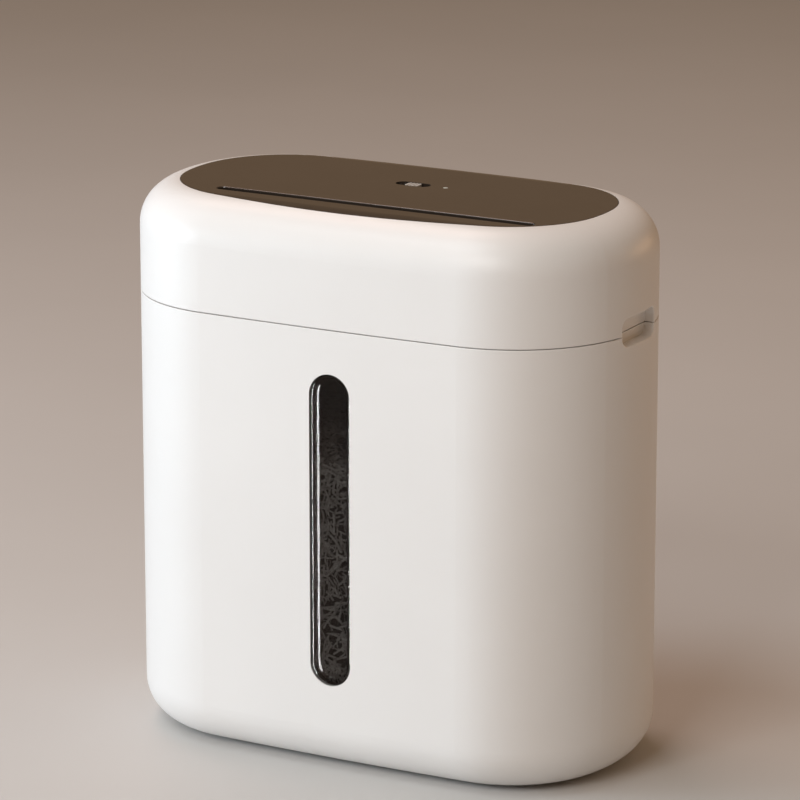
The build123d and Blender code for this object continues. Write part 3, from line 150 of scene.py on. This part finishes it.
def shade_painted_paper():
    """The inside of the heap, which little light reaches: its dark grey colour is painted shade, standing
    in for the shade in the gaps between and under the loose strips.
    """
    mat, tree, shader = new_material("shade_painted_paper")
    patches = noise(tree, 160.0, 4.0, 0.6)
    # painted shade: white paper coloured near black, so the gaps between the strips read as shade
    colour = tint(tree, patches, (0.05, 0.047, 0.043), (0.16, 0.15, 0.14))
    tree.links.new(colour, shader.inputs["Base Color"])
    shader.inputs["Roughness"].default_value = 0.9
    bump(tree, shader, patches, 0.6, 0.002)
    return mat


def pale_floor():
    mat, tree, shader = new_material("pale_floor")
    colour = tint(tree, noise(tree, 3.0, 3.0), (0.60, 0.59, 0.575), (0.62, 0.61, 0.595))
    tree.links.new(colour, shader.inputs["Base Color"])
    shader.inputs["Roughness"].default_value = 0.7
    return mat


TONE_PER_GRAIN = 1.0 / 12.0


def moulded_or_machined(name, tones, rough, metallic=0.0, grain=900.0, stretch=(1.0, 1.0, 1.0)):
    """Two close tones, roughness that varies between two values, and a fine surface grain."""
    mat, tree, shader = new_material(name)
    tone = noise(tree, grain * TONE_PER_GRAIN, 4.0, stretch=stretch)
    tree.links.new(tint(tree, tone, *tones), shader.inputs["Base Color"])
    fine = noise(tree, grain, 3.0, stretch=stretch)
    tree.links.new(spread(tree, fine, *rough), shader.inputs["Roughness"])
    shader.inputs["Metallic"].default_value = metallic
    bump(tree, shader, fine, 0.25, 0.0001)
    return mat


# by material slot: name, two tones, lowest and highest roughness, and what else isn't as usual
FINISHES = {
    "shell_inner": ("white_satin", ((0.70, 0.69, 0.67), (0.74, 0.73, 0.71)), (0.42, 0.5), {}),
    "dark_plastic": ("black_moulded", ((0.012, 0.012, 0.012), (0.02, 0.02, 0.02)), (0.42, 0.55), {}),
    "knob": ("grey_moulded", ((0.55, 0.54, 0.52), (0.6, 0.59, 0.57)), (0.35, 0.45), {}),
    "rubber": ("rubber", ((0.015, 0.015, 0.015), (0.025, 0.025, 0.025)), (0.7, 0.85), {"grain": 1500.0}),
    "zinc_steel": ("zinc_steel", ((0.52, 0.53, 0.55), (0.6, 0.61, 0.62)), (0.28, 0.42), {"metallic": 1.0}),
    "cutter_steel": (
        "cutter_steel",
        ((0.42, 0.42, 0.44), (0.5, 0.5, 0.52)),
        (0.22, 0.36),
        {"metallic": 1.0, "stretch": (8.0, 1.0, 1.0)},
    ),
    "motor_steel": (
        "motor_steel",
        ((0.36, 0.37, 0.38), (0.42, 0.43, 0.44)),
        (0.3, 0.42),
        {"metallic": 1.0, "stretch": (1.0, 6.0, 6.0)},
    ),
    "steel_gear": (
        "sintered_steel",
        ((0.2, 0.2, 0.21), (0.27, 0.27, 0.28)),
        (0.45, 0.6),
        {"metallic": 1.0, "grain": 2500.0},
    ),
    "nylon_gear": ("acetal", ((0.74, 0.72, 0.66), (0.78, 0.76, 0.7)), (0.4, 0.5), {}),
    "bronze": ("bronze", ((0.55, 0.38, 0.18), (0.62, 0.44, 0.22)), (0.3, 0.45), {"metallic": 1.0}),
    "copper": (
        "winding_copper",
        ((0.5, 0.2, 0.09), (0.62, 0.28, 0.13)),
        (0.25, 0.4),
        {"metallic": 0.8, "stretch": (1.0, 9.0, 9.0)},
    ),
    "magnet": ("ferrite", ((0.02, 0.02, 0.022), (0.035, 0.035, 0.037)), (0.55, 0.7), {}),
    "board": ("solder_resist", ((0.01, 0.09, 0.035), (0.015, 0.12, 0.05)), (0.25, 0.35), {}),
    "relay": ("blue_moulded", ((0.03, 0.08, 0.28), (0.04, 0.1, 0.33)), (0.35, 0.45), {}),
    "capacitor": ("sleeve", ((0.01, 0.012, 0.05), (0.015, 0.018, 0.065)), (0.2, 0.3), {}),
    "heat_sink": (
        "extruded_aluminium",
        ((0.6, 0.6, 0.61), (0.68, 0.68, 0.69)),
        (0.3, 0.42),
        {"metallic": 1.0, "stretch": (1.0, 1.0, 0.1)},
    ),
    "choke": ("coated_core", ((0.42, 0.33, 0.06), (0.5, 0.4, 0.08)), (0.35, 0.5), {}),
    "light_pipe": ("clear_rod", ((0.7, 0.78, 0.74), (0.76, 0.83, 0.8)), (0.08, 0.12), {}),
    "wire": ("wire_insulation", ((0.3, 0.012, 0.01), (0.36, 0.018, 0.015)), (0.35, 0.45), {}),
}

materials = {"shell": white_gloss(), "plate": brown_gloss(), "window": smoked_clear()}
for slot, (name, tones, rough, unusual) in FINISHES.items():
    materials[slot] = moulded_or_machined(name, tones, rough, **unusual)

for sub in frame["record"]["subparts"]:
    node = NODES[sub["node"]]
    node.data.materials.clear()
    node.data.materials.append(materials[sub["material_slot"]])


# ---------------------------------------------------------------- shredded paper in the bin
PANE_LOW, PANE_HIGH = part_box("window_insert")
BIN_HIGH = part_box("bin_shell")[1]
BIN_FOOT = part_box("bin_shell")[0].z
WALL = 0.003
END_RADIUS = 0.1091

HEAP_FOOT = BIN_FOOT + 0.03
HEAP_TOP = 0.196
CROWN_HEIGHT = 0.016
CROWN_REACH_X = 0.09
CROWN_REACH_Y = 0.06
LUMP_HEIGHT = 0.003
RIPPLE_HEIGHT = 0.0015
PANE_BACK = PANE_HIGH.y + 0.0008
HEAP_FRONT = PANE_BACK + 0.012

CORE_GRID = 0.006
CORE_MARGIN = 0.004
CORE_BELOW_TOP = 0.006

STRIP_SEED = 11
STRIP_SEGMENTS = 4
STRIP_THICKNESS = 0.00016
STRIP_LENGTHS = (0.008, 0.014)
STRIP_CURLS = (0.3, 2.2)
STRIP_TWIST = 1.2
STRIP_ROLL = 0.45
STRIP_PITCH = 0.3

PANE_STRIPS = 700
PANE_STRIP_WIDTHS = (0.0009, 0.0016)
PANE_STRIP_START = 0.0045
PANE_STRIP_SIDE = 0.006
PANE_STRIP_DEPTH = 0.008
PANE_STRIP_FOOT = 0.045
PANE_STRIP_TOP = HEAP_TOP + 0.001

TOP_STRIPS = 3500
TOP_STRIP_WIDTHS = (0.0016, 0.0024)
TOP_STRIP_MARGIN = 0.0085
TOP_STRIP_HEIGHTS = (-0.005, 0.001)


def inside_bin(x, y, margin):
    """True if a point is at least margin inside the bin's outline, which has rounded ends."""
    half_x = BIN_HIGH.x - WALL - margin
    half_y = BIN_HIGH.y - WALL - margin
    if abs(x) > half_x or abs(y) > half_y:
        return False
    radius = END_RADIUS - WALL - margin
    centre = BIN_HIGH.x - END_RADIUS
    return abs(x) < centre or math.hypot(abs(x) - centre, y) < radius


def heap_height(x, y):
    """Top of the heap: crowned under the chute, uneven everywhere."""
    crown = CROWN_HEIGHT * math.exp(-((x / CROWN_REACH_X) ** 2) - ((y / CROWN_REACH_Y) ** 2))
    lumps = LUMP_HEIGHT * math.sin(61.0 * x + 1.3) * math.cos(74.0 * y + 0.4)
    ripple = RIPPLE_HEIGHT * math.sin(190.0 * x + 150.0 * y)
    return HEAP_TOP + crown + (lumps + ripple)


class Strips:
    """Gathers thin, curled, closed strips of paper into one mesh."""

    def __init__(self, seed):
        self.rng = random.Random(seed)
        self.points = []
        self.faces = []

    def add(self, centre, turn, length, width, curl, twist):
        """One strip bent to the angle curl along its length, turned by the matrix turn about centre."""
        first = len(self.points)
        radius = length / curl
        for step in range(STRIP_SEGMENTS + 1):
            share = step / STRIP_SEGMENTS - 0.5
            angle = share * curl
            middle = Vector((radius * math.sin(angle), 0.0, radius * (1.0 - math.cos(angle))))
            normal = Vector((-math.sin(angle), 0.0, math.cos(angle)))
            along = Vector((math.cos(angle), 0.0, math.sin(angle)))
            spin = Matrix.Rotation(share * twist, 3, along)
            side = spin @ Vector((0.0, width / 2, 0.0))
            lift = spin @ normal * (STRIP_THICKNESS / 2)
            for corner in (side + lift, -side + lift, -side - lift, side - lift):
                self.points.append(centre + turn @ (middle + corner))
        for step in range(STRIP_SEGMENTS):
            here = first + 4 * step
            for k in range(4):
                j = (k + 1) % 4
                self.faces.append((here + k, here + j, here + 4 + j, here + 4 + k))
        last = first + 4 * STRIP_SEGMENTS
        self.faces.append((first + 3, first + 2, first + 1, first))
        self.faces.append((last, last + 1, last + 2, last + 3))

    def scatter(self, centre, tilt, widths):
        """One strip of a random size and heading, lying near the XY plane turned by tilt."""
        rng = self.rng
        heading = Matrix.Rotation(rng.uniform(-math.pi, math.pi), 3, "Z")
        roll = Matrix.Rotation(rng.gauss(0.0, STRIP_ROLL), 3, "X")
        pitch = Matrix.Rotation(rng.gauss(0.0, STRIP_PITCH), 3, "Y")
        curl = rng.choice((-1, 1)) * rng.uniform(*STRIP_CURLS)
        length = rng.uniform(*STRIP_LENGTHS)
        width = rng.uniform(*widths)
        twist = rng.uniform(-STRIP_TWIST, STRIP_TWIST)
        self.add(centre, tilt @ heading @ roll @ pitch, length, width, curl, twist)

    def mesh(self, name):
        mesh = bpy.data.meshes.new(name)
        mesh.from_pydata(self.points, [], self.faces)
        mesh.validate()
        return mesh


def core_columns(bm):
    """The core's top and foot vertices, by their place on the grid."""
    top = {}
    foot = {}
    for i in range(int(2 * BIN_HIGH.x / CORE_GRID) + 1):
        for j in range(int(2 * BIN_HIGH.y / CORE_GRID) + 1):
            x = -BIN_HIGH.x + i * CORE_GRID
            y = -BIN_HIGH.y + j * CORE_GRID
            if inside_bin(x, y, CORE_MARGIN) and y > HEAP_FRONT:
                top[i, j] = bm.verts.new((x, y, heap_height(x, y) - CORE_BELOW_TOP))
                foot[i, j] = bm.verts.new((x, y, HEAP_FOOT))
    return top, foot


def heap_core():
    """The closed lump under the loose strips."""
    bm = bmesh.new()
    top, foot = core_columns(bm)
    for i, j in top:
        ring = [(i, j), (i + 1, j), (i + 1, j + 1), (i, j + 1)]
        if all(key in top for key in ring):
            bm.faces.new([top[key] for key in ring])
            bm.faces.new([foot[key] for key in reversed(ring)])
    loose = [vert for vert in bm.verts if not vert.link_faces]
    bmesh.ops.delete(bm, geom=loose, context="VERTS")
    place = {vert: key for key, vert in top.items() if vert.is_valid}
    rim = [edge for edge in bm.edges if edge.is_boundary and all(vert in place for vert in edge.verts)]
    for edge in rim:
        a, b = (place[vert] for vert in edge.verts)
        bm.faces.new((top[a], top[b], foot[b], foot[a]))
    bmesh.ops.recalc_face_normals(bm, faces=bm.faces)
    mesh = bpy.data.meshes.new("shred_core")
    bm.to_mesh(mesh)
    bm.free()
    return mesh


def loose_strips():
    """Strips standing behind the window, and strips lying on the whole heap."""
    strips = Strips(STRIP_SEED)
    rng = strips.rng
    upright = Matrix.Rotation(math.radians(90.0), 3, "X")
    for _ in range(PANE_STRIPS):
        y = PANE_BACK + PANE_STRIP_START + rng.random() * PANE_STRIP_DEPTH
        x = rng.uniform(PANE_LOW.x - PANE_STRIP_SIDE, PANE_HIGH.x + PANE_STRIP_SIDE)
        z = rng.uniform(PANE_STRIP_FOOT, PANE_STRIP_TOP)
        strips.scatter(Vector((x, y, z)), upright, PANE_STRIP_WIDTHS)
    flat = Matrix.Identity(3)
    made = 0
    while made < TOP_STRIPS:
        x = rng.uniform(-BIN_HIGH.x, BIN_HIGH.x)
        y = rng.uniform(-BIN_HIGH.y, BIN_HIGH.y)
        if inside_bin(x, y, TOP_STRIP_MARGIN):
            z = heap_height(x, y) + rng.uniform(*TOP_STRIP_HEIGHTS)
            strips.scatter(Vector((x, y, z)), flat, TOP_STRIP_WIDTHS)
            made += 1
    return strips.mesh("paper_shreds")


def in_bin(mesh, material):
    """A new piece that rides on the bin."""
    mesh.materials.append(material)
    piece = bpy.data.objects.new(mesh.name, mesh)
    bpy.context.scene.collection.objects.link(piece)
    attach(piece, "bin")
    return piece


# the core carries painted shade: dark paper colour in place of the shade behind the loose strips
in_bin(heap_core(), shade_painted_paper())
paper_shreds = in_bin(loose_strips(), shredded_paper())


# ---------------------------------------------------------------- stage
FLOOR_HALF = 8.0


def floor():
    corners = [(x * FLOOR_HALF, y * FLOOR_HALF, 0) for x, y in ((-1, -1), (1, -1), (1, 1), (-1, 1))]
    mesh = bpy.data.meshes.new("floor")
    mesh.from_pydata(corners, [], [(0, 1, 2, 3)])
    mesh.materials.append(pale_floor())
    plane = bpy.data.objects.new("floor", mesh)
    bpy.context.scene.collection.objects.link(plane)


# ---------------------------------------------------------------- lights
SKY_COLOUR = (1.0, 0.66, 0.40, 1.0)
SKY_STRENGTH = 0.21
LIT_POINT = Vector((0.0, 0.0, 0.18))
LIGHT_DISTANCE = 2.6
# name, azimuth and elevation in degrees, width and height in metres, watts, colour
LIGHTS = (
    ("left_low", -60.0, 7.0, (1.25, 0.55), 40.5, (0.74, 0.88, 1.0)),
    ("front", 0.0, 33.0, (1.25, 1.1), 26.8, (0.94, 0.92, 0.905)),
    ("front_high", -30.0, 62.0, (1.1, 1.0), 14.5, (0.86, 0.95, 1.0)),
    ("back_high", -120.0, 62.0, (1.1, 1.0), 16.1, (1.0, 0.758, 0.68)),
    ("back_low", 150.0, 7.0, (1.25, 0.55), 5.75, (1.0, 0.626, 0.374)),
)
# name, place, the point it faces, width and height in metres, watts, colour
WINDOW_CARD = (
    "window_card",
    (0.153, -0.203, 0.113),
    (-0.011, -0.088, 0.113),
    (0.2, 0.216),
    12.5,
    (1.0, 1.0, 0.99),
)
PAPER_LAMP = (
    "paper_lamp",
    (0.3, -1.2, 0.22),
    (0.0, -0.09, 0.13),
    (0.3, 0.3),
    27.0,
    (1.0, 0.95, 0.9),
)


def direction(azimuth, elevation):
    """The unit vector towards an azimuth, measured from the front to the right, and an elevation."""
    across = math.cos(elevation)
    return Vector((math.sin(azimuth) * across, -math.cos(azimuth) * across, math.sin(elevation)))


def area_light(name, place, target, size, power, colour):
    data = bpy.data.lights.new(name, "AREA")
    data.shape = "RECTANGLE"
    data.size, data.size_y = size
    data.energy = power
    data.color = colour
    light = bpy.data.objects.new(name, data)
    light.location = place
    light.rotation_euler = (Vector(target) - Vector(place)).to_track_quat("-Z", "Y").to_euler()
    light.visible_camera = False
    bpy.context.scene.collection.objects.link(light)
    return light


def limit_light(light, piece, state):
    """With INCLUDE a light reaches only the piece, and with EXCLUDE everything but the piece."""
    reached = bpy.data.collections.new(light.name + "_receivers")
    reached.objects.link(piece)
    reached.collection_objects[0].light_linking.link_state = state
    light.light_linking.receiver_collection = reached


def studio():
    """A dim warm sky and five soft lights, and two small ones for the window and the paper behind it."""
    world = bpy.data.worlds.new("studio")
    bpy.context.scene.world = world
    world.use_nodes = True
    background = world.node_tree.nodes["Background"]
    background.inputs["Color"].default_value = SKY_COLOUR
    background.inputs["Strength"].default_value = SKY_STRENGTH
    for name, azimuth, elevation, size, power, colour in LIGHTS:
        place = LIT_POINT + direction(math.radians(azimuth), math.radians(elevation)) * LIGHT_DISTANCE
        area_light(name, place, LIT_POINT, size, power, colour)
    limit_light(bpy.data.objects["left_low"], NODES["window_insert"], "EXCLUDE")
    limit_light(area_light(*WINDOW_CARD), NODES["window_insert"], "INCLUDE")
    limit_light(area_light(*PAPER_LAMP), paper_shreds, "INCLUDE")


# ---------------------------------------------------------------- camera
VIEW_AZIMUTH = math.radians(28.7)
VIEW_ELEVATION = math.radians(15.85)
VIEW_DISTANCE = 2.8828
VIEW_PIVOT = Vector((0.0, 0.0, 0.177))
VIEW_AIM = Vector((0.0017, 0.001, 0.2226))
LENS = 202.7
SENSOR_WIDTH = 36.0
FARTHEST_SEEN = 50.0


def camera():
    data = bpy.data.cameras.new("camera")
    data.lens = LENS
    data.sensor_width = SENSOR_WIDTH
    data.clip_end = FARTHEST_SEEN
    cam = bpy.data.objects.new("camera", data)
    cam.location = VIEW_PIVOT + direction(VIEW_AZIMUTH, VIEW_ELEVATION) * VIEW_DISTANCE
    cam.rotation_euler = (VIEW_AIM - cam.location).to_track_quat("-Z", "Y").to_euler()
    bpy.context.scene.collection.objects.link(cam)
    bpy.context.scene.camera = cam


floor()
studio()
camera()
bpy.context.scene.view_settings.view_transform = "Standard"
